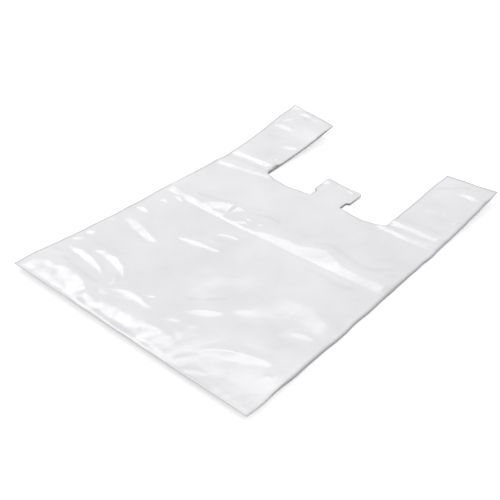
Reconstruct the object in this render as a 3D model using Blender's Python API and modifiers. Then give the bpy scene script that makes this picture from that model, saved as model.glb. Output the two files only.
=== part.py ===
"""A plastic carrier bag with vest handles, empty and lying flat.

The bag is one piece of blown film: a tube pressed flat, with a gusset folded in at each side, welded along its
bottom edge and across the end of each handle. The mouth is cut between the handles and leaves a hanging tab.
Units are metres and +Z is up. X runs across the bag and Y from its bottom weld to its handle ends. The origin is
under the middle of the bag, on the surface that it lies on.
"""

import math

import bmesh
import bpy
from mathutils import Vector

# Flat size of the bag
BAG_WIDTH = 0.300
BAG_LENGTH = 0.460
MOUTH_HEIGHT = 0.316
FILM = 0.00015

# Handles
HANDLE_WIDTH = 0.066
HANDLE_ROOT_RADIUS = 0.012
GUSSET_PAST_HANDLE = 0.003

# Hanging tab, with a notch at each side of its neck, and the dip of the mouth's edge beside it.
# The die has cut the tab a little off the middle.
TAB_HEIGHT = 0.044
TAB_WIDTH = 0.050
TAB_OFFSET = 0.004
TAB_TIP_RISE = 0.0015
TAB_NOTCH = 0.004
TAB_NECK_HEIGHT = 0.012
TAB_SHOULDER = 0.003
TAB_CORNER_RADIUS = 0.008
MOUTH_DIP = 0.006

# Welds: how far each runs in from the film's end, and how far its bead stands past the film and above it
WELD_DEPTH = 0.0026
WELD_BEAD = 0.0004
WELD_PROUD = 0.00014
WELD_OVERLAP = 0.00003

# Clearance between one sheet of film and the next: at a weld, where they lie loose, and at the end of the tab
GAP_WELDED = 0.00012
GAP_LOOSE = 0.00075
GAP_TAB = 0.00025
LOOSE_REACH = 0.030
CROWN = 0.0012

# How far the film has sprung up off the surface: the end of each handle, at its outer and its inner edge, and the
# two bottom corners. The power says how early the rise comes.
LEFT_RISE_OUTER = 0.025
LEFT_RISE_INNER = 0.015
RIGHT_RISE_OUTER = 0.012
RIGHT_RISE_INNER = 0.008
BOTTOM_LEFT_RISE = 0.0065
BOTTOM_RIGHT_RISE = 0.0050
BOTTOM_RISE_REACH = 0.120
RISE_POWER = 1.6

# Creases where the bag was folded for its carton, as height from the bottom, rise, and reach of the slope past it.
# The first crosses the whole bag, and the others cross the handles' roots.
HALF_FOLD = (0.215, 0.0032, 0.015)
ROOT_FOLD = (0.303, 0.0020, 0.009)
HANDLE_FOLD = (0.328, 0.0018, 0.009)
FOLD_LIP = 0.35
FOLD_FADE = 0.045
ROOT_FOLD_FADE = 0.020

# Wrinkles in the front, as a crest from (x, y) to (x, y), rise, and half width. Here x is from the middle and y from
# the bottom.
WRINKLES = (
    ((-0.144, 0.144), (-0.076, 0.126), 0.0030, 0.011),
    ((-0.110, 0.068), (-0.060, 0.060), 0.0032, 0.011),
    ((-0.056, 0.040), (-0.002, 0.044), 0.0028, 0.011),
    ((0.020, 0.062), (0.052, 0.094), 0.0026, 0.012),
    ((-0.066, 0.150), (-0.016, 0.162), 0.0020, 0.011),
    ((-0.050, 0.184), (-0.020, 0.194), 0.0016, 0.011),
    ((-0.098, 0.232), (-0.066, 0.236), 0.0020, 0.012),
    ((0.062, 0.016), (0.124, 0.058), 0.0026, 0.012),
    ((-0.120, 0.018), (-0.060, 0.022), 0.0024, 0.014),
    ((-0.030, 0.016), (0.030, 0.022), 0.0022, 0.012),
    ((0.092, 0.066), (0.130, 0.110), 0.0022, 0.018),
    ((0.014, 0.236), (0.104, 0.236), 0.0012, 0.010),
)

# Spacing of the mesh
ROW_STEP = 0.0165
TAB_COLUMNS = 2
MOUTH_COLUMNS = 5
HANDLE_COLUMNS = 5
CORNER_STEPS = 3
FOLD_STEPS = 3
CLOSEST_ROWS = 0.0015
ROWS_NEAR_MOUTH = 8

# Sheets of film, numbered from the one that lies lowest
BACK, LOWER_GUSSET, UPPER_GUSSET, FRONT = range(4)

EDGE_X = BAG_WIDTH / 2 - FILM / 2
HANDLE_X = BAG_WIDTH / 2 - HANDLE_WIDTH
ROOT_X = HANDLE_X - HANDLE_ROOT_RADIUS
GUSSET_X = ROOT_X - GUSSET_PAST_HANDLE
TAB_X = TAB_WIDTH / 2
NECK_X = TAB_X - TAB_NOTCH
FILM_START = WELD_BEAD
FILM_END = BAG_LENGTH - WELD_BEAD


def smooth(t):
    """0 below t = 0, 1 above t = 1, and a smooth curve between."""
    t = min(max(t, 0.0), 1.0)
    return t * t * (3 - 2 * t)


def spread(start, end, count):
    """count steps from start to end, both included."""
    return [start + (end - start) * i / count for i in range(count + 1)]


def rows_between(start, end, marks):
    """Heights from start to end that take in each mark between them, no further apart than ROW_STEP."""
    found = [start]
    for mark in sorted(marks) + [end]:
        in_range = found[-1] + CLOSEST_ROWS < mark < end - CLOSEST_ROWS
        if in_range or mark == end:
            count = max(1, math.ceil((mark - found[-1]) / ROW_STEP - 1e-9))
            found += spread(found[-1], mark, count)[1:]
    return found


def pitch(y):
    """Distance from the middle of one sheet to the next at y: welded at both ends of the bag, loose between."""
    inside = min(y - WELD_DEPTH, BAG_LENGTH - WELD_DEPTH - y)
    return FILM + GAP_WELDED + (GAP_LOOSE - GAP_WELDED) * smooth(inside / LOOSE_REACH)


def fold_rise(y, fold):
    """Height of the front past a crease: a slope up from the crease line, and a long fall after it."""
    line, rise, reach = fold
    past = y - line
    if past <= 0:
        return rise * FOLD_LIP * smooth(1 + past / reach)
    if past <= reach:
        return rise * (FOLD_LIP * (1 - past / reach) ** 4 + past / reach)
    return rise * (1 - smooth((past - reach) / FOLD_FADE))


def wrinkle_rise(x, y, wrinkle):
    """Height of one wrinkle at (x, y): a rounded ridge that fades at both ends."""
    (ax, ay), (bx, by), rise, half_width = wrinkle
    along = Vector((bx - ax, by - ay))
    from_a = Vector((x - ax, y - ay))
    share = from_a.dot(along) / along.length_squared
    off_line = abs(from_a.cross(along)) / along.length
    past_end = max(-share, share - 1, 0) * along.length
    return rise * math.exp(-((off_line / half_width) ** 2) - (past_end / half_width) ** 2)


def relief(x, y):
    """How far the front stands over its plain level: the crown of air in the middle, creases and wrinkles."""
    crown = CROWN * smooth((GUSSET_X - abs(x)) / GUSSET_X)
    at_root = smooth((abs(x) - ROOT_X) / ROOT_FOLD_FADE + 1)
    folds = fold_rise(y, HALF_FOLD) + at_root * max(fold_rise(y, ROOT_FOLD), fold_rise(y, HANDLE_FOLD))
    wrinkles = sum(wrinkle_rise(x, y, wrinkle) for wrinkle in WRINKLES)
    free = smooth((y - WELD_DEPTH) / LOOSE_REACH) * smooth((FILM_END - WELD_DEPTH - y) / LOOSE_REACH)
    return (crown + folds + wrinkles) * free


def spring(x, y):
    """How far every sheet has sprung up from the surface below, at (x, y): the bottom edge and the handles."""
    if y < MOUTH_HEIGHT:
        share = max(0.0, 1 - y / BOTTOM_RISE_REACH) ** RISE_POWER
        across = x / BAG_WIDTH + 0.5
        return share * (BOTTOM_LEFT_RISE + (BOTTOM_RIGHT_RISE - BOTTOM_LEFT_RISE) * across)
    share = ((y - MOUTH_HEIGHT) / (BAG_LENGTH - MOUTH_HEIGHT)) ** RISE_POWER
    outer, inner = (LEFT_RISE_OUTER, LEFT_RISE_INNER) if x < 0 else (RIGHT_RISE_OUTER, RIGHT_RISE_INNER)
    across = (abs(x) - HANDLE_X) / HANDLE_WIDTH
    return share * (inner + (outer - inner) * across)


def film_point(sheet, x, y):
    """A point in the middle of a sheet's thickness. The sheets share out the relief between them."""
    z = FILM / 2 + sheet * (pitch(y) + relief(x, y) / FRONT) + spring(x, y)
    return Vector((x, y - BAG_LENGTH / 2, z))


def fold_inset(side, y):
    """How far in from its outermost point a fold leaves a sheet: half the distance to the next sheet."""
    edge = side * EDGE_X
    return (film_point(FRONT, edge, y).z - film_point(UPPER_GUSSET, edge, y).z) / 2


def tab_point(sheet, x, y):
    """A point on the hanging tab, whose two sheets come together towards its end."""
    share = smooth((y - MOUTH_HEIGHT) / TAB_HEIGHT)
    root = film_point(sheet, x, MOUTH_HEIGHT).z
    end = FILM / 2 + TAB_TIP_RISE + (FILM + GAP_TAB if sheet == FRONT else 0)
    return Vector((x, y - BAG_LENGTH / 2, root + (end - root) * share))


def turn(start, end, side):
    """The rounded fold from one sheet to the next: a half circle that bulges to side, without its ends."""
    radius = abs(start.z - end.z) / 2
    middle = (start + end) / 2
    found = []
    for step in range(1, FOLD_STEPS):
        angle = math.pi * step / FOLD_STEPS
        across = side * radius * math.sin(angle)
        up = (start.z - middle.z) * math.cos(angle)
        found.append(middle + Vector((across, 0, up)))
    return found


def mouth_y(side, x):
    """Where the cut edge of the mouth lies, x out from the middle: it dips on each side of the tab."""
    neck = NECK_X + side * TAB_OFFSET
    share = (x - neck) / (ROOT_X - neck)
    if not 0 < share < 1:
        return MOUTH_HEIGHT
    return MOUTH_HEIGHT - MOUTH_DIP * math.sin(math.pi * share)


def handle_inner_x(y):
    """The handle's inner cut edge at y, with its rounded root."""
    above_root = y - MOUTH_HEIGHT - HANDLE_ROOT_RADIUS
    if above_root >= 0:
        return HANDLE_X
    reach = math.sqrt(max(0.0, HANDLE_ROOT_RADIUS**2 - above_root**2))
    return HANDLE_X - HANDLE_ROOT_RADIUS + reach


def tab_outline():
    """Rows of the hanging tab as (y, half width): neck, shoulders, and a head with rounded corners."""
    shoulder = MOUTH_HEIGHT + TAB_NECK_HEIGHT
    corner = MOUTH_HEIGHT + TAB_HEIGHT - TAB_CORNER_RADIUS
    rows = [(y, NECK_X) for y in spread(MOUTH_HEIGHT, shoulder, 2)]
    rows.append((shoulder + TAB_SHOULDER, TAB_X))
    for step in range(CORNER_STEPS + 1):
        angle = math.pi / 2 * step / CORNER_STEPS
        inset = TAB_CORNER_RADIUS * (1 - math.cos(angle))
        rows.append((corner + TAB_CORNER_RADIUS * math.sin(angle), TAB_X - inset))
    return rows


def body_section(side, y):
    """Half of the tube's section at y: the middle of the front, round the gusset, to the middle of the back."""

    def at(sheet, x):
        near_mouth = (y / MOUTH_HEIGHT) ** ROWS_NEAR_MOUTH
        return film_point(sheet, side * x, y + (mouth_y(side, x) - MOUTH_HEIGHT) * near_mouth)

    neck = NECK_X + side * TAB_OFFSET
    middle = spread(0, neck, TAB_COLUMNS)[:-1] + spread(neck, ROOT_X, MOUTH_COLUMNS)[:-1]
    outer = spread(ROOT_X, EDGE_X - fold_inset(side, y), HANDLE_COLUMNS)
    inner_fold_x = GUSSET_X + pitch(y) / 2
    front = [at(FRONT, x) for x in middle + outer]
    upper = [at(UPPER_GUSSET, x) for x in reversed([inner_fold_x] + outer)]
    lower = [at(LOWER_GUSSET, x) for x in [inner_fold_x] + outer]
    back = [at(BACK, x) for x in reversed(middle + outer)]
    section = front + turn(front[-1], upper[0], side)
    section += upper + turn(upper[-1], lower[0], -side)
    section += lower + turn(lower[-1], back[0], side)
    return section + back


def handle_section(side, y, outside, inside):
    """Half of a handle's section at y: one sheet from the cut edge out to the fold, and the next sheet back."""
    columns = spread(handle_inner_x(y), EDGE_X - fold_inset(side, y), HANDLE_COLUMNS)
    first = [film_point(outside, side * x, y) for x in columns]
    second = [film_point(inside, side * x, y) for x in reversed(columns)]
    return first + turn(first[-1], second[0], side) + second


def tab_section(side, sheet, y, half_width):
    """One sheet of the tab at y, from the bag's middle out to one edge."""
    return [tab_point(sheet, side * x, y) for x in spread(0, half_width + side * TAB_OFFSET, TAB_COLUMNS)]


def skin(film, rows):
    """Faces between rows that have the same number of points."""
    made = [[film.verts.new(point) for point in row] for row in rows]
    for low, high in zip(made, made[1:]):
        for i in range(len(low) - 1):
            film.faces.new((low[i], low[i + 1], high[i + 1], high[i]))


def film_surface():
    """The middle surface of the film: the gusseted body, two loops of handle on each side, and the tab."""
    film = bmesh.new()
    folds = []
    for line, _, reach in (HALF_FOLD, ROOT_FOLD, HANDLE_FOLD):
        folds += [line - reach / 2, line, line + reach]
    body_rows = rows_between(FILM_START, MOUTH_HEIGHT, folds + [WELD_DEPTH, LOOSE_REACH / 2])
    root_rows = [
        MOUTH_HEIGHT + HANDLE_ROOT_RADIUS * (1 - math.cos(math.pi / 2 * step / CORNER_STEPS))
        for step in range(CORNER_STEPS + 1)
    ]
    end_marks = [FILM_END - WELD_DEPTH - LOOSE_REACH / 2, FILM_END - WELD_DEPTH]
    handle_rows = root_rows[:-1] + rows_between(root_rows[-1], FILM_END, folds + end_marks)
    for side in (1, -1):
        skin(film, [body_section(side, y) for y in body_rows])
        for outside, inside in ((FRONT, UPPER_GUSSET), (BACK, LOWER_GUSSET)):
            skin(film, [handle_section(side, y, outside, inside) for y in handle_rows])
        for sheet in (FRONT, BACK):
            skin(film, [tab_section(side, sheet, y, half_width) for y, half_width in tab_outline()])
    bmesh.ops.remove_doubles(film, verts=film.verts, dist=1e-6)
    bmesh.ops.triangulate(film, faces=film.faces)
    bmesh.ops.recalc_face_normals(film, faces=film.faces)
    return film


def add_object(name, mesh_source, collection):
    """A new object in the collection, with the bmesh as its mesh."""
    mesh = bpy.data.meshes.new(name)
    mesh_source.to_mesh(mesh)
    mesh_source.free()
    made = bpy.data.objects.new(name, mesh)
    collection.objects.link(made)
    return made


def weld_bar(name, inner_x, outer_x, y_low, y_high, collection):
    """A weld across every sheet, from inner_x to outer_x, that follows the rise of the film it closes."""
    top = FRONT * (FILM + GAP_WELDED) + FILM + WELD_PROUD
    bar = bmesh.new()
    bmesh.ops.create_cube(bar, size=1)
    for corner in bar.verts:
        x = inner_x if corner.co.x < 0 else outer_x
        y = y_low if corner.co.y < 0 else y_high
        z = WELD_OVERLAP if corner.co.z < 0 else top
        corner.co = Vector((x, y - BAG_LENGTH / 2, z + spring(x, y)))
    bmesh.ops.recalc_face_normals(bar, faces=bar.faces)
    made = add_object(name, bar, collection)
    made.hide_render = True
    made.display_type = "WIRE"
    return made


def film_material():
    """Milky white polyethylene film with a gloss."""
    material = bpy.data.materials.new("white_film")
    material.use_nodes = True
    shader = material.node_tree.nodes["Principled BSDF"]
    shader.inputs["Base Color"].default_value = (0.82, 0.82, 0.83, 1)
    shader.inputs["Roughness"].default_value = 0.22
    shader.inputs["Metallic"].default_value = 0.0
    return material


def build_bag():
    """The bag as one object: the film surface given its thickness, joined with its three welds."""
    parts = bpy.data.collections.new("plastic_carrier_bag")
    helpers = bpy.data.collections.new("weld_helpers")
    for collection in (parts, helpers):
        bpy.context.scene.collection.children.link(collection)
    bag = add_object("carrier_bag", film_surface(), parts)
    bag.data.materials.append(film_material())
    thickness = bag.modifiers.new("film_thickness", "SOLIDIFY")
    thickness.thickness = FILM
    thickness.offset = 0
    thickness.use_even_offset = True
    edge = BAG_WIDTH / 2 + WELD_OVERLAP
    cut = HANDLE_X - WELD_BEAD
    far_end = FILM_END - WELD_DEPTH
    welds = (
        weld_bar("bottom_weld", -edge, edge, 0, WELD_BEAD + WELD_DEPTH, helpers),
        weld_bar("right_handle_weld", cut, edge, far_end, BAG_LENGTH, helpers),
        weld_bar("left_handle_weld", -edge, -cut, far_end, BAG_LENGTH, helpers),
    )
    for weld in welds:
        join = bag.modifiers.new(weld.name, "BOOLEAN")
        join.operation = "UNION"
        join.solver = "EXACT"
        join.object = weld
    return bag


for old in list(bpy.data.objects):
    bpy.data.objects.remove(old)
build_bag()
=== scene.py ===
"""The looks of an empty plastic carrier bag lying flat: creased, milky white film with a gloss.

The film is made as two pieces, the front half and the back half of the bag, which meet at the inner folds
of the gussets. Lengths are millimetres unless a comment says otherwise. In the tables, x is from the left
edge of the flat bag and y from its bottom weld.
"""

import math

import bmesh
import bpy
import numpy as np
from mathutils import Matrix, Vector


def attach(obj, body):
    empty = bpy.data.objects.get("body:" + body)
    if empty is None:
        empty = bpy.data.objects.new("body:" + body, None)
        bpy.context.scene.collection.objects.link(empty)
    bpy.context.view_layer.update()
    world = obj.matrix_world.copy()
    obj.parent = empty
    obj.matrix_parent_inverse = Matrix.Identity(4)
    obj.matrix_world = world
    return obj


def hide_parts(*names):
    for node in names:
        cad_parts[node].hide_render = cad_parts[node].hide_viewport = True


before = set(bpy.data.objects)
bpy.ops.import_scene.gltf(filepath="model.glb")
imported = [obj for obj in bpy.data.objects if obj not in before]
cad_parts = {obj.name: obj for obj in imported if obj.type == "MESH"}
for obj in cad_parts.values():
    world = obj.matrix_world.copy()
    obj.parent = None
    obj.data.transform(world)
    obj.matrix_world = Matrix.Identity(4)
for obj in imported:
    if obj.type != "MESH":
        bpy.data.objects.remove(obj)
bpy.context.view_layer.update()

# The flat bag, in the solid model's sizes apart from a smaller root radius and a shallower mouth. EDGE_X is
# the furthest out from its middle that the middle of its film lies
WIDTH = 300.0
LENGTH = 460.0
MOUTH = 316.0
HANDLE = 66.0
ROOT_RADIUS = 9.0
GUSSET_X = 69.0
HANDLE_X = WIDTH / 2 - HANDLE
ROOT_X = HANDLE_X - ROOT_RADIUS
MOUTH_DIP = 4.5
EDGE_X = WIDTH / 2 - 0.04

# The hanging tab, and how high its end lies, its curled corner stands and its middle bows up
TAB_HEIGHT = 44.0
TAB_WIDTH = 50.0
TAB_OFFSET = 4.0
TAB_NOTCH = 4.0
TAB_NECK = 12.0
TAB_SHOULDER = 3.0
TAB_CORNER = 8.0
TAB_TIP = 1.5
TAB_TIP_GAP = 0.4
TAB_CURL = 4.5
TAB_BOW = 0.8

# The corner curls up past these distances from the tab's middle line and from the mouth, over these reaches
CURL_OUT = 6
CURL_OUT_REACH = 22
CURL_UP = 22
CURL_UP_REACH = 26

# The film and its welds, the distance from one sheet to the next when welded, loose and at the least, and how
# far from a weld the sheets lie loose: on the left and in the handles, and on the right of the body
FILM = 0.06
WELD = 2.6
PITCH_WELDED = 0.075
PITCH_LOOSE = 0.9
LEAST_PITCH = 0.07
LOOSE_REACH = 30.0
FAR_LOOSE_REACH = 60.0

# How round the gussets' inner folds are, and how high the front bulges along the middle
TUCK_ROUNDING = 0.1
CROWN = 1.2

# The sheets lie closer around the tab, by this share, from so far beside it and so far below the mouth
CLOSER_AT_TAB = 0.5
TAB_SIDE_START = 10
TAB_SIDE_FADE = 12
TAB_BELOW_START = 16
TAB_BELOW_FADE = 18

# How high the handles' ends spring up, at their outer and inner edge, and the bottom edge, left and right,
# from where the bottom edge starts to rise, and how the rise bends
LEFT_RISE = (25.0, 15.0)
RIGHT_RISE = (12.0, 8.0)
BOTTOM_RISE = (6.5, 5.0)
BOTTOM_REACH = 120.0
RISE_POWER = 1.6

# The four sheets from the floor up, and the direction on the flat bag that the bright flanks face
BACK, LOWER_GUSSET, UPPER_GUSSET, FRONT = range(4)
FRONT_RIGHT = np.array((0.61, -0.79))

# A wrinkle whose bright flank is at least this wide is rounded, and a narrower one has a sharp crest, with
# flanks that fall by these powers. Each wrinkle narrows towards its ends, down to a least share of its width
BROAD = 24.0
NEAR_POWER = 1.25
FAR_POWER = 2
TAPER_POWER = 0.7
LEAST_TAPER = 0.3

# The crease across the middle, as (x, y), how far up the bag its slope reaches, as (x, reach), and how
# steep that slope is, as (x, slope)
MIDDLE_CREASE = (
    (0, 209), (40, 206), (72, 205), (120, 204), (146, 205.5), (198, 207), (269, 210), (300, 212.5),
)
MIDDLE_REACH = (
    (0, 9), (40, 8), (57, 8), (66, 6), (78, 6), (89, 9), (93, 5), (110, 6), (124, 3), (140, 6), (163, 11),
    (188, 13), (205, 19), (215, 23), (230, 16), (243, 12), (262, 11), (300, 12),
)
MIDDLE_SLOPE = (
    (0, 0.20), (55, 0.22), (64, 0.24), (92, 0.24), (100, 0.225), (200, 0.18), (240, 0.15), (300, 0.135),
)
LEAST_REACH = 1.5

# The lip on the crease's line, how far before it the film starts to rise, and how far past the slope it falls
LIP_HEIGHT = 0.25
LIP_SLOPE = 0.08
LIP_REACH = 2.5
RISE_BEFORE_LIP = 14
FALL_REACH = 46

# The rows of the mesh bend with the crease around CREASE_ROW, within CREASE_BEND, and with the mouth near it
CREASE_ROW = 207
CREASE_BEND = 22
MOUTH_BEND_POWER = 8

# Wrinkles, each with the middle of its flank that faces the front right, as points (x, y), then how wide
# that flank is, how steep, and how wide the flank behind it is
WRINKLES = (
    # left part, between the bottom and the crease
    (((11, 139), (26, 134), (44, 129), (65, 124), (75, 125)), 10, 0.26, 16),
    (((37, 68), (50, 74), (67, 72), (83, 66), (93, 59)), 7.5, 0.23, 12),
    (((8, 58), (30, 58), (52, 55), (76, 49)), 8, 0.21, 10),
    (((89, 46), (95, 50)), 20, 0.10, 7),
    (((97, 35), (107, 42), (122, 44), (136, 43), (148, 42)), 7.5, 0.19, 10),
    (((173, 59), (186, 71), (202, 84)), 11, 0.145, 10),
    (((131, 51), (141, 58)), 6, 0.17, 7),
    (((79, 147), (92, 148), (107, 151), (120, 153), (135, 157)), 8, 0.26, 9),
    (((107, 179), (121, 184), (134, 188)), 5, 0.27, 7),
    (((5, 84), (20, 96)), 9, 0.17, 9),
    (((7, 67), (17, 84)), 7, 0.17, 8),
    (((4, 159), (26, 160)), 6, 0.25, 8),
    (((14, 187), (28, 189)), 5, 0.25, 7),
    (((22, 205), (40, 200)), 4, 0.26, 6),
    (((4, 118), (12, 132)), 6, 0.17, 8),
    (((96, 160), (118, 166), (138, 170)), 5, 0.17, 8),
    # at the crease
    (((108, 211), (114, 212), (122, 216)), 5, 0.27, 4),
    (((109, 219), (116, 221), (123, 224)), 5, 0.33, 5),
    (((110, 228), (117, 230), (124, 232)), 5, 0.3, 6),
    (((127, 221), (134, 223), (142, 227)), 4, 0.34, 4),
    (((58, 213), (78, 220), (106, 235)), 16, 0.275, 9),
    (((10, 229), (37, 232), (77, 246)), 7, 0.16, 10),
    # right part
    (((219, 31), (236, 42), (258, 52), (278, 62)), 12, 0.12, 12),
    (((224, 2), (233, 7), (243, 15)), 6, 0.10, 7),
    (((213, 4), (218, 16), (226, 27)), 6, 0.09, 8),
    (((256, 5), (262, 12)), 4, 0.09, 5),
    (((281, 44), (288, 47)), 4, 0.12, 5),
    (((168, 43), (182, 47)), 5, 0.13, 6),
    (((190, 46), (198, 56)), 4, 0.08, 5),
    (((262, 106), (275, 109), (287, 114)), 6, 0.075, 8),
    (((206, 92), (217, 104), (229, 118), (244, 133), (270, 134), (298, 128)), 28, 0.058, 30),
    (((278, 238), (293, 246)), 8, 0.13, 8),
    # along the bottom weld
    (((2, 14), (30, 16), (62, 15), (100, 7)), 26, 0.105, 18),
    (((76, 8), (110, 6), (150, 10), (196, 22)), 24, 0.11, 16),
    (((104, 18), (118, 26)), 5, 0.13, 6),
    (((78, 13), (84, 24)), 5, 0.14, 6),
    # left handle
    (((10, 431), (20, 444), (37, 456)), 10, 0.14, 10),
    (((5, 407), (17, 412), (32, 412)), 8, 0.14, 8),
    (((3, 374), (10, 381)), 6, 0.15, 7),
    (((42, 376), (52, 382), (62, 387)), 6, 0.19, 8),
    (((52, 346), (60, 358)), 5, 0.18, 7),
    (((69, 320), (64, 330), (63, 345)), 5, 0.30, 5),
    (((30, 449), (43, 451), (62, 456)), 4, 0.14, 3),
    # right handle
    (((240, 428), (248, 441), (260, 452)), 6, 0.10, 8),
    (((262, 426), (281, 427), (300, 428)), 10, 0.225, 8),
    (((286, 371), (297, 375)), 4, 0.22, 6),
    (((248, 454), (262, 455), (280, 454)), 3, 0.22, 3),
    (((246, 371), (262, 378), (284, 382)), 11, 0.125, 12),
)

# Shallow furrows, given like the wrinkles
FURROWS = (
    (((8, 46), (33, 39), (58, 35), (80, 36)), 9, 0.08, 12),
    (((43, 225), (57, 228), (84, 241)), 8, 0.09, 12),
    (((110, 233), (126, 242), (146, 240)), 7, 0.09, 12),
    (((200, 234), (215, 242), (238, 238), (254, 233), (270, 236), (281, 252)), 12, 0.10, 22),
    (((7, 416), (20, 436), (34, 446)), 6, 0.10, 9),
    (((237, 418), (252, 432), (267, 448)), 6, 0.10, 9),
)

# Lines of painted shade, where the film is drawn darker along creases and furrows and under a curled corner:
# points, half width, and how much
PAINTED_SHADE_LINES = (
    (((163, 79), (174, 89), (187, 102)), 1.9, 0.22),
    (((8, 46), (33, 39), (58, 35), (80, 36)), 3.0, 0.16),
    (((43, 225), (57, 228), (84, 241)), 2.2, 0.18),
    (((110, 234), (126, 242), (146, 240)), 2.2, 0.20),
    (((86, 243), (120, 250), (150, 246)), 6.0, 0.05),
    (((200, 236), (215, 243), (237, 238), (254, 234), (270, 238), (281, 253)), 3.5, 0.13),
    (((212, 260), (245, 262), (280, 270)), 22.0, 0.05),
    (((216, 195), (232, 197), (258, 195), (270, 198)), 3.5, 0.12),
    (((215, 72), (240, 99), (266, 97), (282, 92)), 8.0, 0.07),
    (((7, 418), (20, 437), (34, 446)), 2.6, 0.15),
    (((15, 345), (40, 352), (58, 356)), 9.0, 0.06),
    (((20, 388), (38, 392), (54, 398)), 8.0, 0.05),
    (((68, 319), (65, 330), (65, 344)), 2.2, 0.40),
    (((237, 420), (252, 433), (267, 449)), 3.2, 0.13),
    (((238, 340), (258, 346), (285, 346)), 7.0, 0.09),
    (((248, 384), (265, 392), (284, 406)), 8.0, 0.06),
    (((1, 320), (30, 321), (70, 323)), 2.6, 0.13),
    (((236, 321), (262, 322), (296, 327)), 2.2, 0.10),
    (((110, 4), (121, 13)), 1.6, 0.22),
    (((61, 217), (81, 209)), 1.4, 0.22),
    (((86, 168), (110, 172), (134, 178)), 4.0, 0.08),
    (((36, 132), (52, 120), (64, 116)), 3.0, 0.08),
    (((24, 80), (42, 82), (62, 84)), 3.0, 0.08),
    (((282, 16), (290, 25)), 1.6, 0.16),
)

# Where the film is most crumpled, as x, y and the half widths of the patch
BUSY = ((40, 22, 46, 26), (120, 16, 50, 16), (128, 226, 20, 18), (176, 26, 24, 20), (115, 172, 34, 22))

# Ridges of the two folds at each handle's root: points, flank, slope, flank behind
ROOT_RIDGES = (
    (((-2, 329), (27, 332), (51, 333), (70, 335)), 8, 0.29, 9),
    (((2, 297), (22, 303), (46, 306), (72, 311)), 8, 0.29, 9),
    (((230, 328), (257, 331), (278, 330), (302, 334)), 9, 0.2, 9),
    (((228, 313), (241, 313), (266, 312), (290, 314), (300, 315)), 5, 0.31, 8),
)

# How far inside the root these start, and over how much they rise
ROOT_RIDGE_START = 6
ROOT_RIDGE_FADE = 10

# A ridge near the tab's end, given the same way
TAB_RIDGE = (((147, 349), (160, 352), (174, 351)), 4, 0.42, 5)

# Seeded unevenness of the film: size, wave length, seed, number of waves and stretch along the bag
WIDE_SWELL = (0.25, 95, 11)
MIDDLE_SWELL = (0.08, 38, 12)
FINE_CRESTS = (0.05, 30, 21, 24, 1.3)
FINE_GRAIN = (0.012, 11, 22)
BUSY_SWELL = (0.20, 24, 23)
BUSY_CRESTS = (0.10, 19, 24)
PUCKERS = (0.20, 9, 31)
CREST_SHIFT = (0.35, 20, 71, 10)
REACH_SHIFT = (0.6, 30, 5, 8)
LOWEST_SHEET = (0.22, 60, 41)
TAB_SWELL = (0.25, 22, 61)

# Seeded wandering of the film's edges, given the same way. Each outer edge adds its own side to the seed,
# and END_REACH is how far the waviness of both ends of the bag reaches into it
MOUTH_RAGGED = (0.35, 16, 51, 8)
OUTER_EDGE = (0.45, 55, 81, 8)
BOTTOM_END = (0.4, 40, 91, 8)
HANDLE_END = (0.5, 30, 92, 8)
END_REACH = 3

# How far from a weld the film puckers, how much the puckers are drawn out along the bag, and the share of the
# weld that stays flat
BOTTOM_PUCKER_REACH = 7
HANDLE_PUCKER_REACH = 6
PUCKER_STRETCH = 0.25
FLAT_WELD = 0.6

# How the relief fades towards the bag's outer edges, and its lowest level
SIDE_FADE = 9
SIDE_LEAST = 0.25
DEEPEST = -1.6

# Painted shade at the film's edges and inside its folds, and the grey line of each weld, all in the edge
# attribute: how far the shade reaches at each kind of edge, and the grey at a weld's line, and how grey a
# weld's line is and how shaded the first points inside a fold are
OUTER_SHADE = 1.5
MOUTH_SHADE = 1.3
HANDLE_CUT_SHADE = 1.4
HANDLE_END_SHADE = 2.1
BOTTOM_SHADE = 0.9
TAB_SHADE = 1.2
WELD_LINE_GREY = 0.9
WELD_LINE = 0.18
INNER_FOLD_SHADE = 0.6

# How many faces each sheet is across: to the tab's neck, to the handle's root and to the outer edge
FRONT_COLUMNS = (13, 29, 44)
INNER_COLUMNS = (3, 7, 12)

# Rows along the bag, closer together at the welds and creases, and the parts of each rounded fold
ROW_STEP = 1.95
FINE_STEP = 0.9
FINE_BODY_ROWS = ((0, 5), (203, 213), (298, 302))
FINE_HANDLE_ROWS = ((328, 333), (455, 460))
ROOT_ROWS = 10
FOLD_STEPS = 5

# How close two points lie to be joined, in metres, and how many degrees a sharp edge turns at the least
JOIN_DISTANCE = 2e-6
SHARP_ANGLE = 60

# The film's two whites, which vary at random, the grey of the painted shade at its edges, folds and creases
# and of its weld lines, and how much of it shows there, and how strongly it reflects
MILK_DARK = (0.774, 0.772, 0.791, 1)
MILK_LIGHT = (0.858, 0.855, 0.875, 1)
SHADE_AND_WELD_GREY = (0.36, 0.36, 0.37, 1)
SHADE_AND_WELD_SHARE = 0.75
FILM_IOR = 1.5

# The studio, in metres: the light that falls on the bag from all round, the floor, and the lamps as name,
# azimuth, elevation, size and radiance
WORLD_LIGHT = 0.63
WHITE = (1, 1, 1, 1)
FLOOR_COLOR = (0.80, 0.80, 0.80, 1)
FLOOR_GLOW = 0.48
FLOOR_SIZE = 14
FLOOR_LEVEL = -0.0002
LAMP_DISTANCE = 2.0
SOFTBOXES = (
    ("high_softbox", 53.0, 57.0, (1.25, 0.48), 4.5),
    ("side_softbox", 72.0, 44.0, (0.66, 0.44), 4.6),
    ("front_softbox", 235.0, 58.0, (1.30, 0.60), 2.0),
)

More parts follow.
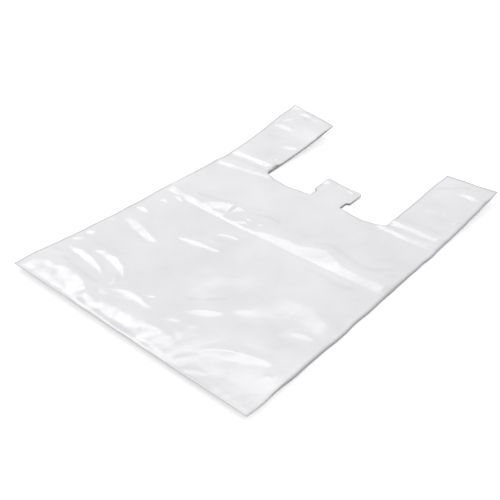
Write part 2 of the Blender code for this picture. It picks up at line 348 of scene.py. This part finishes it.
# The camera, in degrees and metres, and its lens and sensor in millimetres
CAMERA_AZIMUTH = 37.725
CAMERA_ELEVATION = 35.461
CAMERA_ROLL = 3.187
CAMERA_DISTANCE = 0.8188
CAMERA_TARGET = (0.0007, -0.0452, 0.0)
CAMERA_CLIP = 0.01
LENS = 56.30
SENSOR = 36


def smooth(t):
    """0 below t = 0, 1 above t = 1, and a smooth curve between."""
    t = np.clip(t, 0.0, 1.0)
    return t * t * (3 - 2 * t)


def between(near, far, share):
    """The value that is this share of the way from near to far."""
    return near + (far - near) * share


def waves(x, y, length, seed, count=24, stretch=1.0):
    """Smooth seeded noise of about unit size, with waves about so long, and stretched along the bag."""
    rng = np.random.default_rng(seed)
    total = np.zeros(np.broadcast(x, y).shape)
    for _ in range(count):
        angle = rng.uniform(0, math.pi)
        number = 2 * math.pi / length * rng.uniform(0.6, 1.5)
        phase = rng.uniform(0, 2 * math.pi)
        total += np.sin(number * (x * math.cos(angle) + y * math.sin(angle) / stretch) + phase)
    return total / math.sqrt(count / 2)


def swells(x, y, noise):
    """Gentle rises and dips, from a row of the tables of noise."""
    size, *settings = noise
    return size * waves(x, y, *settings)


def crests(x, y, noise):
    """Sharp little crests with round hollows between them, from a row of the tables of noise."""
    size, *settings = noise
    return size * (1 - np.abs(waves(x, y, *settings)))


def wander(x, y, noise):
    """A length that wanders between 0 and twice the size in a row of the tables of noise."""
    size, *settings = noise
    return size * (1 + np.sin(waves(x, y, *settings)))


def along_table(x, table):
    """The value at x of a table of pairs, with straight lines between them."""
    return np.interp(x, *zip(*table))


def rounded_path(points, rounds=2):
    """The points with their corners cut, so that the line bends smoothly."""
    path = [np.array(p, float) for p in points]
    for _ in range(rounds):
        cut = [path[0]]
        for a, b in zip(path, path[1:]):
            cut += [a * 0.75 + b * 0.25, a * 0.25 + b * 0.75]
        path = cut + [path[-1]]
    return path


def ridge(x, y, mark, pointed=True):
    """Height of one wrinkle: a flank with an even slope towards the front right, and another one behind."""
    points, near, slope, far = mark
    height = np.zeros(x.shape)
    path = rounded_path(points)
    low = np.min(path, axis=0) - near - far
    high = np.max(path, axis=0) + near + far
    here = (x > low[0]) & (x < high[0]) & (y > low[1]) & (y < high[1])
    if not here.any():
        return height
    px, py = x[here], y[here]
    lengths = [np.linalg.norm(b - a) for a, b in zip(path, path[1:])]
    best = np.full(px.shape, 1e9)
    side = np.zeros(px.shape)
    share = np.zeros(px.shape)
    done = 0.0
    for a, b, length in zip(path, path[1:], lengths):
        along = (b - a) / max(length, 1e-9)
        across = np.array((along[1], -along[0]))
        if across @ FRONT_RIGHT < 0:
            across = -across
        ax, ay = px - a[0], py - a[1]
        t = np.clip(ax * along[0] + ay * along[1], 0, length)
        dx, dy = ax - t * along[0], ay - t * along[1]
        distance = np.hypot(dx, dy)
        closer = distance < best
        best = np.where(closer, distance, best)
        side = np.where(closer, np.sign(dx * across[0] + dy * across[1]) * distance, side)
        share = np.where(closer, (done + t) / sum(lengths), share)
        done += length
    taper = np.sin(math.pi * np.clip(share, 0, 1)) ** TAPER_POWER if pointed else np.ones(px.shape)
    wide = LEAST_TAPER + (1 - LEAST_TAPER) * taper
    off = side + near * wide / 2
    if pointed and near < BROAD:
        off = off + swells(px, py, CREST_SHIFT)
    down_near = np.clip(1 - off / (near * wide), 0, 1)
    down_far = np.clip(1 + off / (far * wide), 0, 1)
    if not pointed:
        down_far = down_far**FAR_POWER
    elif near < BROAD:
        down_near, down_far = down_near**NEAR_POWER, down_far**FAR_POWER
    else:
        down_near, down_far = smooth(down_near), smooth(down_far)
    height[here] = slope * near * taper * np.where(off >= 0, down_near, down_far)
    return height


def middle_crease(x, y):
    """The crease across the bag: a narrow lip on its line, a slope that rises past it, and a long fall."""
    past = y - along_table(x, MIDDLE_CREASE)
    reach = np.maximum(along_table(x, MIDDLE_REACH) + swells(x, 0 * y, REACH_SHIFT), LEAST_REACH)
    rise = along_table(x, MIDDLE_SLOPE) * reach
    before = LIP_HEIGHT * smooth(1 + past / RISE_BEFORE_LIP)
    lip = LIP_HEIGHT + LIP_SLOPE * np.clip(past, 0, LIP_REACH)
    up = lip + rise * np.clip(past / reach, 0, 1)
    fall = (rise + LIP_HEIGHT + LIP_SLOPE * LIP_REACH) * (1 - smooth((past - reach) / FALL_REACH))
    return np.where(past <= 0, before, np.where(past <= reach, up, fall))


def busy_patches(x, y):
    """How crumpled the film is at x, y on the flat bag, 1 in the middle of each patch."""
    return sum(np.exp(-(((x - cx) / rx) ** 2) - ((y - cy) / ry) ** 2) for cx, cy, rx, ry in BUSY)


def relief(x, y):
    """How far the front stands over its plain level, with x and y on the flat bag."""
    out = np.abs(x - WIDTH / 2)
    total = CROWN * smooth((GUSSET_X - out) / GUSSET_X) + middle_crease(x, y)
    for mark in WRINKLES + FURROWS:
        total = total + ridge(x, y, mark)
    for mark in ROOT_RIDGES:
        at_handle = smooth((out - ROOT_X + ROOT_RIDGE_START) / ROOT_RIDGE_FADE)
        total = total + ridge(x, y, mark, pointed=False) * at_handle
    total = total + swells(x, y, WIDE_SWELL) + swells(x, y, MIDDLE_SWELL)
    total = total + crests(x, y, FINE_CRESTS) + swells(x, y, FINE_GRAIN)
    total = total + busy_patches(x, y) * (swells(x, y, BUSY_SWELL) + crests(x, y, BUSY_CRESTS))
    from_bottom, from_end = y - WELD, LENGTH - WELD - y
    pucker = np.abs(swells(x, y * PUCKER_STRETCH, PUCKERS))
    total = total + pucker * np.exp(-np.clip(from_bottom, 0, None) / BOTTOM_PUCKER_REACH)
    total = total + pucker * np.exp(-np.clip(from_end, 0, None) / HANDLE_PUCKER_REACH)
    free = smooth((y - WELD * FLAT_WELD) / BOTTOM_PUCKER_REACH)
    free = free * smooth((LENGTH - WELD * FLAT_WELD - y) / HANDLE_PUCKER_REACH)
    at_side = SIDE_LEAST + (1 - SIDE_LEAST) * smooth((WIDTH / 2 - out) / SIDE_FADE)
    return np.maximum(total, DEEPEST) * free * at_side


def painted_crease_shade(x, y):
    """How much painted shade the film has at x, y on the flat bag, along its creases and furrows."""
    total = np.zeros(x.shape)
    for points, wide, amount in PAINTED_SHADE_LINES:
        path = rounded_path(points)
        low = np.min(path, axis=0) - 3 * wide
        high = np.max(path, axis=0) + 3 * wide
        here = (x > low[0]) & (x < high[0]) & (y > low[1]) & (y < high[1])
        px, py = x[here], y[here]
        best = np.full(px.shape, 1e9)
        for a, b in zip(path, path[1:]):
            along = b - a
            t = ((px - a[0]) * along[0] + (py - a[1]) * along[1]) / max(along @ along, 1e-9)
            t = np.clip(t, 0, 1)
            best = np.minimum(best, np.hypot(px - a[0] - t * along[0], py - a[1] - t * along[1]))
        total[here] += amount * np.exp(-((best / wide) ** 2))
    return total


def pitch(x, y):
    """Distance from one sheet to the next, x from the middle: welded at both ends of the bag, and loose
    between, but closer around the tab."""
    inside = np.minimum(y - WELD, LENGTH - WELD - y)
    far = smooth(0.5 + x / WIDTH) * (y < MOUTH)
    reach = between(LOOSE_REACH, FAR_LOOSE_REACH, far)
    beside = smooth((TAB_WIDTH / 2 + TAB_SIDE_START - np.abs(x - TAB_OFFSET)) / TAB_SIDE_FADE)
    at_tab = beside * smooth((y - MOUTH + TAB_BELOW_START) / TAB_BELOW_FADE)
    return between(PITCH_WELDED, PITCH_LOOSE, smooth(inside / reach)) * (1 - CLOSER_AT_TAB * at_tab)


def spring(x, y):
    """How far every sheet has sprung up from the floor: at the bottom edge and the handles. x is from the
    middle."""
    low = np.clip(1 - y / BOTTOM_REACH, 0, None) ** RISE_POWER
    low = low * between(BOTTOM_RISE[0], BOTTOM_RISE[1], x / WIDTH + 0.5)
    up = np.clip((y - MOUTH) / (LENGTH - MOUTH), 0, None) ** RISE_POWER
    out = (np.abs(x) - HANDLE_X) / HANDLE
    left = between(LEFT_RISE[1], LEFT_RISE[0], out)
    right = between(RIGHT_RISE[1], RIGHT_RISE[0], out)
    return low + up * np.where(x < 0, left, right)


def film_z(sheet, x, y):
    """Height of a sheet's middle at x from the bag's middle and y from the bottom. The front's relief is
    shared by the distances between the sheets."""
    gap = pitch(x, y) + relief(x + WIDTH / 2, y) / FRONT
    return FILM / 2 + sheet * np.maximum(gap, LEAST_PITCH) + spring(x, y) + wander(x, y, LOWEST_SHEET)


def neck_x(side):
    """Where the tab's neck ends on a side, out from the bag's middle."""
    return TAB_WIDTH / 2 - TAB_NOTCH + side * TAB_OFFSET


def mouth_y(side, x):
    """Where the cut edge of the mouth lies, x out from the middle: it dips on each side of the tab."""
    neck = neck_x(side)
    arch = np.sin(math.pi * np.clip((x - neck) / (ROOT_X - neck), 0, 1))
    return MOUTH - MOUTH_DIP * arch + swells(side * x, 0 * x, MOUTH_RAGGED) * arch**0.5


def handle_inner_x(y):
    """The handle's inner cut edge at y, with its rounded root."""
    short = np.minimum(y - MOUTH - ROOT_RADIUS, 0)
    return HANDLE_X - ROOT_RADIUS + np.sqrt(np.clip(ROOT_RADIUS**2 - short**2, 0, None))


def steps(start, end, count):
    """count steps from start to end for every row, both ends included."""
    start, end = np.atleast_1d(start)[:, None], np.atleast_1d(end)[:, None]
    return start + (end - start) * np.linspace(0, 1, count + 1)[None, :]


def rows_between(start, end, fine):
    """Rows from start to end, closer together in each fine stretch (low, high)."""
    found = [start]
    while found[-1] < end - 1e-6:
        y = found[-1]
        close = any(low - ROW_STEP / 2 <= y < high for low, high in fine)
        found.append(y + (FINE_STEP if close else ROW_STEP))
    found = np.array(found[:-1] + [end])
    if len(found) > 2 and found[-1] - found[-2] < 0.5 * FINE_STEP:
        found = np.delete(found, -2)
    return found


def outermost(side, rows):
    """How far out a sheet reaches at every row: less than the bag by its wandering edge and rounded fold."""
    edge = np.full(rows.shape, side * EDGE_X)
    inset = (film_z(FRONT, edge, rows) - film_z(UPPER_GUSSET, edge, rows)) / 2
    size, length, seed, count = OUTER_EDGE
    return EDGE_X - inset - wander(rows, 0 * rows, (size, length, seed + side, count))


def turned(start, end, side):
    """The rounded fold from one sheet to the next, for every row, without its two ends."""
    middle = (start + end) / 2
    radius = np.abs(start[:, 2] - end[:, 2]) / 2
    found = []
    for step in range(1, FOLD_STEPS):
        angle = math.pi * step / FOLD_STEPS
        point = middle.copy()
        point[:, 0] += side * radius * math.sin(angle)
        point[:, 2] += (start[:, 2] - middle[:, 2]) * math.cos(angle)
        found.append(point)
    return np.stack(found, axis=1)


def sheet_points(sheet, side, xs, rows):
    """Points of one sheet for every row, from xs out from the middle, with the rows bent at the mouth and
    at the crease, and wavy at both ends of the bag."""
    ys = np.broadcast_to(rows[:, None], xs.shape)
    mouth = (mouth_y(side, xs) - MOUTH) * (np.minimum(ys, MOUTH) / MOUTH) ** MOUTH_BEND_POWER
    crease = along_table(side * xs + WIDTH / 2, MIDDLE_CREASE) - CREASE_ROW
    crease = crease * np.exp(-(((ys - CREASE_ROW) / CREASE_BEND) ** 2))
    start = wander(side * xs, 0 * xs, BOTTOM_END) * np.exp(-ys / END_REACH)
    end = wander(side * xs, 0 * xs, HANDLE_END) * np.exp(-(LENGTH - ys) / END_REACH)
    ys = ys + np.where(ys <= MOUTH, mouth + crease + start, -end)
    return np.stack((side * xs, ys, film_z(sheet, side * xs, ys)), axis=2)


class Film:
    """Points and faces of one half of the bag, with the painted shade at each point, darker near an edge or
    fold of the film and along creases, and the grey of the weld lines.
    """

    def __init__(self):
        self.points, self.edges, self.faces, self.count = [], [], [], 0

    def add(self, points, edges):
        """A patch of faces between rows of points."""
        rows, columns = points.shape[:2]
        self.points.append(points.reshape(-1, 3))
        self.edges.append(np.broadcast_to(edges, (rows, columns)).reshape(-1))
        index = np.arange(rows * columns).reshape(rows, columns) + self.count
        corners = (index[:-1, :-1], index[:-1, 1:], index[1:, 1:], index[1:, :-1])
        self.faces.append(np.stack([corner.reshape(-1) for corner in corners], axis=1))
        self.count += rows * columns

    def mesh(self, name):
        """The patches as one mesh in metres, joined where they meet."""
        points = np.concatenate(self.points)
        points[:, 1] -= LENGTH / 2
        made = bpy.data.meshes.new(name)
        made.from_pydata((points / 1000).tolist(), [], np.concatenate(self.faces).tolist())
        # The edge attribute holds the painted shade at the film's edges, folds and creases, and its grey weld
        # lines
        mark = made.attributes.new("edge", "FLOAT", "POINT")
        mark.data.foreach_set("value", np.concatenate(self.edges).astype(np.float32))
        film = bmesh.new()
        film.from_mesh(made)
        bmesh.ops.remove_doubles(film, verts=film.verts, dist=JOIN_DISTANCE)
        bmesh.ops.recalc_face_normals(film, faces=film.faces)
        film.to_mesh(made)
        film.free()
        return made


def near_edge(distance, reach):
    """1 on an edge, falling to nearly 0 within about twice the reach."""
    return np.exp(-((distance / reach) ** 2))


def half_body(film, side, half, rows):
    """Half of one half of the tube: its panel from the middle out, the fold, and in along the gusset."""
    panel, gusset = (FRONT, UPPER_GUSSET) if half == "front" else (BACK, LOWER_GUSSET)
    columns = FRONT_COLUMNS if half == "front" else INNER_COLUMNS
    neck = np.full(rows.shape, neck_x(side))
    root = np.full(rows.shape, ROOT_X)
    out = outermost(side, rows)
    to_neck = steps(0 * neck, neck, columns[0])[:, :-1]
    to_root = steps(neck, root, columns[1])[:, :-1]
    xs = np.concatenate((to_neck, to_root, steps(root, out, columns[2])), axis=1)
    gap = pitch(side * root, rows)
    inner = GUSSET_X + gap / 2
    inward = np.concatenate((steps(root, out, INNER_COLUMNS[2])[:, ::-1], inner[:, None]), axis=1)
    first = sheet_points(panel, side, xs, rows)
    second = sheet_points(gusset, side, inward, rows)
    upper = sheet_points(UPPER_GUSSET, side, inner[:, None], rows)[:, 0, 2]
    lower = sheet_points(LOWER_GUSSET, side, inner[:, None], rows)[:, 0, 2]
    tuck = second[:, -1].copy()
    tuck[:, 0] -= side * gap / 2
    tuck[:, 2] = (upper + lower) / 2
    half_tuck = (second[:, -1] + tuck) / 2
    half_tuck[:, 0] -= side * gap * TUCK_ROUNDING
    fold = turned(first[:, -1], second[:, 0], side)
    in_mouth = (xs < ROOT_X) & (xs > neck[0])
    to_mouth = np.where(in_mouth, mouth_y(side, xs) - first[:, :, 1], LENGTH)
    ys = rows[:, None] + 0 * xs
    # Painted shade, darker towards the mouth, the outer edge and the bottom edge, and the grey weld line
    edges = np.maximum.reduce((
        near_edge(to_mouth, MOUTH_SHADE),
        near_edge(out[:, None] - xs, OUTER_SHADE),
        near_edge(ys, BOTTOM_SHADE),
        WELD_LINE * near_edge(ys - WELD - 1, WELD_LINE_GREY),
    ))
    # The front also gets the painted shade along its creases and furrows
    if half == "front":
        edges = edges + painted_crease_shade(first[:, :, 0] + WIDTH / 2, first[:, :, 1])
    # The rounded fold is painted fully with shade, and the first point inside the gusset partly
    inside = np.zeros((len(rows), inward.shape[1] + 2))
    inside[:, 0] = INNER_FOLD_SHADE
    film.add(
        np.concatenate((first, fold, second, half_tuck[:, None], tuck[:, None]), axis=1),
        np.concatenate((edges, np.ones(fold.shape[:2]), inside), axis=1),
    )


def handle_loop(film, side, half, rows):
    """Half of a handle: one sheet from the cut edge out to the fold, and the next sheet back."""
    outside, inside = (FRONT, UPPER_GUSSET) if half == "front" else (BACK, LOWER_GUSSET)
    columns = FRONT_COLUMNS[2] if half == "front" else INNER_COLUMNS[2]
    out = outermost(side, rows)
    cut = handle_inner_x(rows)
    xs = steps(cut, out, columns)
    first = sheet_points(outside, side, xs, rows)
    second = sheet_points(inside, side, steps(cut, out, INNER_COLUMNS[2])[:, ::-1], rows)
    fold = turned(first[:, -1], second[:, 0], side)
    to_end = LENGTH - rows[:, None] + 0 * xs
    # Painted shade, darker towards the cut edge, the outer edge and the end, and the grey weld line; the
    # rounded fold is painted fully with shade
    edges = np.maximum.reduce((
        near_edge(xs - cut[:, None], HANDLE_CUT_SHADE),
        near_edge(out[:, None] - xs, OUTER_SHADE),
        near_edge(to_end, HANDLE_END_SHADE),
        WELD_LINE * near_edge(to_end - WELD - 1, WELD_LINE_GREY),
    ))
    # The front also gets the painted shade along its creases and furrows
    if half == "front":
        edges = edges + painted_crease_shade(first[:, :, 0] + WIDTH / 2, first[:, :, 1])
    film.add(
        np.concatenate((first, fold, second), axis=1),
        np.concatenate((edges, np.ones(fold.shape[:2]), np.zeros(second.shape[:2])), axis=1),
    )


def tab_outline():
    """Rows of the hanging tab, as y and half width: its neck, shoulder, sides and rounded corners."""
    shoulder = MOUTH + TAB_NECK
    corner = MOUTH + TAB_HEIGHT - TAB_CORNER
    half = TAB_WIDTH / 2
    rows = [(y, half - TAB_NOTCH) for y in np.linspace(MOUTH, shoulder, 8)]
    for t in (0.3, 0.65, 1):
        rows.append((shoulder + TAB_SHOULDER * t, half - TAB_NOTCH * math.cos(t * math.pi / 2)))
    rows += [(y, half) for y in np.linspace(shoulder + TAB_SHOULDER, corner, 11)[1:]]
    for angle in np.linspace(0, math.pi / 2, 9)[1:]:
        rows.append((corner + TAB_CORNER * math.sin(angle), half - TAB_CORNER * (1 - math.cos(angle))))
    return np.array(rows).T


def tab(film, side, half):
    """One side of one sheet of the tab. Its far corner on the left has curled up."""
    sheet = FRONT if half == "front" else BACK
    columns = FRONT_COLUMNS[0] if half == "front" else INNER_COLUMNS[0]
    ys, half_width = tab_outline()
    edge = half_width + side * TAB_OFFSET
    xs = steps(0 * edge, edge, columns)
    ys = ys[:, None] + 0 * xs
    up = ys - MOUTH
    across = side * xs - TAB_OFFSET
    root = film_z(sheet, side * xs, np.full(xs.shape, MOUTH))
    share = smooth(up / TAB_HEIGHT)
    end = TAB_TIP + (TAB_TIP_GAP if sheet == FRONT else 0.0)
    curl = TAB_CURL * smooth((up - CURL_UP) / CURL_UP_REACH) * smooth((-across - CURL_OUT) / CURL_OUT_REACH)
    bow = TAB_BOW * np.sin(math.pi * up / TAB_HEIGHT) + swells(across, ys, TAB_SWELL)
    z = between(root, end, share) + curl + bow * share + ridge(side * xs + WIDTH / 2, ys, TAB_RIDGE)
    # Painted shade, darker towards the tab's side and end
    edges = np.maximum(near_edge(xs[:, -1:] - xs, TAB_SHADE), near_edge(TAB_HEIGHT - up, TAB_SHADE))
    film.add(np.stack((side * xs, ys, z), axis=2), np.where(ys <= MOUTH, 0, edges))


def film_half(half, material):
    """One half of the bag as an object: the film's middle surface, given its thickness."""
    film = Film()
    body_rows = rows_between(0.0, MOUTH, FINE_BODY_ROWS)
    root_rows = MOUTH + ROOT_RADIUS * (1 - np.cos(np.linspace(0, math.pi / 2, ROOT_ROWS)))
    past_root = rows_between(root_rows[-1], LENGTH, FINE_HANDLE_ROWS)
    handle_rows = np.concatenate((root_rows[:-1], past_root))
    for side in (1, -1):
        half_body(film, side, half, body_rows)
        handle_loop(film, side, half, handle_rows)
        tab(film, side, half)
    name = half + "_film"
    piece = bpy.data.objects.new(name, film.mesh(name))
    bpy.context.scene.collection.objects.link(piece)
    piece.data.materials.append(material)
    thickness = piece.modifiers.new("film_thickness", "SOLIDIFY")
    thickness.thickness = FILM / 1000
    thickness.offset = 0
    bpy.context.view_layer.update()
    thick = piece.evaluated_get(bpy.context.evaluated_depsgraph_get())
    solid = bpy.data.meshes.new_from_object(thick)
    piece.modifiers.clear()
    piece.data = solid
    solid.polygons.foreach_set("use_smooth", [True] * len(solid.polygons))
    solid.set_sharp_from_angle(angle=math.radians(SHARP_ANGLE))
    return piece


def node(tree, kind, **values):
    """A new shader node with its settings and unlinked inputs."""
    made = tree.nodes.new(kind)
    for key, value in values.items():
        if hasattr(made, key):
            setattr(made, key, value)
        else:
            made.inputs[key.replace("_", " ")].default_value = value
    return made


def film_material():
    """Milky white polyethylene: a soft gloss that varies, fine crinkles, painted shade at the edges, folds
    and creases, and grey weld lines.
    """
    material = bpy.data.materials.new("white_film")
    material.use_nodes = True
    tree = material.node_tree
    shader = tree.nodes["Principled BSDF"]
    shader.inputs["IOR"].default_value = FILM_IOR
    shader.inputs["Metallic"].default_value = 0.0
    link = tree.links.new
    place = node(tree, "ShaderNodeTexCoord")

    cloud = node(tree, "ShaderNodeTexNoise", Scale=16.0, Detail=4.0, Roughness=0.6)
    tone = node(tree, "ShaderNodeMapRange", From_Min=0.3, From_Max=0.7, To_Min=0.0, To_Max=1.0)
    milk = node(tree, "ShaderNodeMix", data_type="RGBA")
    milk.inputs["A"].default_value = MILK_DARK
    milk.inputs["B"].default_value = MILK_LIGHT
    link(place.outputs["Object"], cloud.inputs["Vector"])
    link(cloud.outputs["Fac"], tone.inputs["Value"])
    link(tone.outputs["Result"], milk.inputs["Factor"])

    # The edge attribute mixes in the painted shade at edges, folds and creases, and the grey of the weld
    # lines
    edge = node(tree, "ShaderNodeAttribute", attribute_name="edge")
    amount = node(tree, "ShaderNodeMath", operation="MULTIPLY", use_clamp=True)
    amount.inputs[1].default_value = SHADE_AND_WELD_SHARE
    shade_and_weld_mix = node(tree, "ShaderNodeMix", data_type="RGBA")
    shade_and_weld_mix.inputs["B"].default_value = SHADE_AND_WELD_GREY
    link(edge.outputs["Fac"], amount.inputs[0])
    link(amount.outputs[0], shade_and_weld_mix.inputs["Factor"])
    link(milk.outputs["Result"], shade_and_weld_mix.inputs["A"])
    link(shade_and_weld_mix.outputs["Result"], shader.inputs["Base Color"])

    patch = node(tree, "ShaderNodeTexNoise", Scale=26.0, Detail=2.0, Roughness=0.5)
    gloss = node(tree, "ShaderNodeMapRange", From_Min=0.3, From_Max=0.7, To_Min=0.17, To_Max=0.27)
    link(place.outputs["Object"], patch.inputs["Vector"])
    link(patch.outputs["Fac"], gloss.inputs["Value"])
    link(gloss.outputs["Result"], shader.inputs["Roughness"])

    stretch = node(tree, "ShaderNodeMapping")
    stretch.inputs["Scale"].default_value = (1.0, 0.35, 1.0)
    crinkle = node(tree, "ShaderNodeTexNoise", Scale=140.0, Detail=3.0, Roughness=0.55)
    bump = node(tree, "ShaderNodeBump", Strength=0.25, Distance=0.0004)
    link(place.outputs["Object"], stretch.inputs["Vector"])
    link(stretch.outputs["Vector"], crinkle.inputs["Vector"])
    link(crinkle.outputs["Fac"], bump.inputs["Height"])
    link(bump.outputs["Normal"], shader.inputs["Normal"])
    return material


def seen_directly(tree):
    """1 for rays from the camera, in mirrors and through glass, and 0 for light that shines on the object."""
    path = tree.nodes.new("ShaderNodeLightPath")
    first = node(tree, "ShaderNodeMath", operation="MAXIMUM")
    second = node(tree, "ShaderNodeMath", operation="MAXIMUM")
    tree.links.new(path.outputs["Is Camera Ray"], first.inputs[0])
    tree.links.new(path.outputs["Is Glossy Ray"], first.inputs[1])
    tree.links.new(first.outputs[0], second.inputs[0])
    tree.links.new(path.outputs["Is Transmission Ray"], second.inputs[1])
    return second.outputs[0]


def pale_world():
    """Even pale light on the object, and a white background."""
    world = bpy.data.worlds.new("studio")
    bpy.context.scene.world = world
    world.use_nodes = True
    tree = world.node_tree
    tree.nodes.clear()
    light = node(tree, "ShaderNodeBackground", Color=WHITE, Strength=WORLD_LIGHT)
    white = node(tree, "ShaderNodeBackground", Color=WHITE, Strength=1.0)
    pick = tree.nodes.new("ShaderNodeMixShader")
    out = tree.nodes.new("ShaderNodeOutputWorld")
    tree.links.new(seen_directly(tree), pick.inputs["Fac"])
    tree.links.new(light.outputs[0], pick.inputs[1])
    tree.links.new(white.outputs[0], pick.inputs[2])
    tree.links.new(pick.outputs[0], out.inputs["Surface"])


def pale_floor():
    """A plain floor that looks white where the light is full, and keeps the shadow."""
    bpy.ops.mesh.primitive_plane_add(size=FLOOR_SIZE, location=(0, 0, FLOOR_LEVEL))
    floor = bpy.context.object
    floor.name = "floor"
    material = bpy.data.materials.new("pale_floor")
    material.use_nodes = True
    tree = material.node_tree
    tree.nodes.clear()
    matt = node(tree, "ShaderNodeBsdfDiffuse", Color=FLOOR_COLOR)
    glow = node(tree, "ShaderNodeEmission", Color=WHITE, Strength=FLOOR_GLOW)
    both = tree.nodes.new("ShaderNodeAddShader")
    pick = tree.nodes.new("ShaderNodeMixShader")
    out = tree.nodes.new("ShaderNodeOutputMaterial")
    tree.links.new(matt.outputs[0], both.inputs[0])
    tree.links.new(glow.outputs[0], both.inputs[1])
    tree.links.new(seen_directly(tree), pick.inputs["Fac"])
    tree.links.new(matt.outputs[0], pick.inputs[1])
    tree.links.new(both.outputs[0], pick.inputs[2])
    tree.links.new(pick.outputs[0], out.inputs["Surface"])
    floor.data.materials.append(material)


def direction(azimuth, elevation):
    """A direction in radians. Azimuth turns from the handles' end to the left, seen from above."""
    flat = math.cos(elevation)
    return Vector((-math.sin(azimuth) * flat, math.cos(azimuth) * flat, math.sin(elevation)))


def softbox(name, azimuth, elevation, size, radiance):
    """A softbox that shines evenly at the bag, its place given in degrees and its size in metres."""
    towards = direction(math.radians(azimuth), math.radians(elevation))
    data = bpy.data.lights.new(name, "AREA")
    data.shape = "RECTANGLE"
    data.size, data.size_y = size
    data.energy = radiance * math.pi * size[0] * size[1]
    lamp = bpy.data.objects.new(name, data)
    bpy.context.scene.collection.objects.link(lamp)
    lamp.location = towards * LAMP_DISTANCE
    lamp.rotation_euler = towards.to_track_quat("Z", "Y").to_euler()


def place_camera():
    """The camera, looking down along the bag from its bottom right, with a small roll."""
    roll = math.radians(CAMERA_ROLL)
    forward = direction(math.radians(CAMERA_AZIMUTH), -math.radians(CAMERA_ELEVATION))
    right = forward.cross(Vector((0, 0, 1))).normalized()
    up = right.cross(forward)
    across = right * math.cos(roll) + up * math.sin(roll)
    upright = up * math.cos(roll) - right * math.sin(roll)
    data = bpy.data.cameras.new("camera")
    data.lens = LENS
    data.sensor_width = SENSOR
    data.clip_start = CAMERA_CLIP
    camera = bpy.data.objects.new("camera", data)
    bpy.context.scene.collection.objects.link(camera)
    turned_to = Matrix((across, upright, -forward)).transposed().to_4x4()
    turned_to.translation = Vector(CAMERA_TARGET) - forward * CAMERA_DISTANCE
    camera.matrix_world = turned_to
    bpy.context.scene.camera = camera


bpy.context.scene.view_settings.view_transform = "Standard"
place_camera()
pale_world()
pale_floor()
for lamp_settings in SOFTBOXES:
    softbox(*lamp_settings)
film_look = film_material()
for half in ("front", "back"):
    piece = film_half(half, film_look)
    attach(piece, "root")
    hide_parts("carrier_bag")
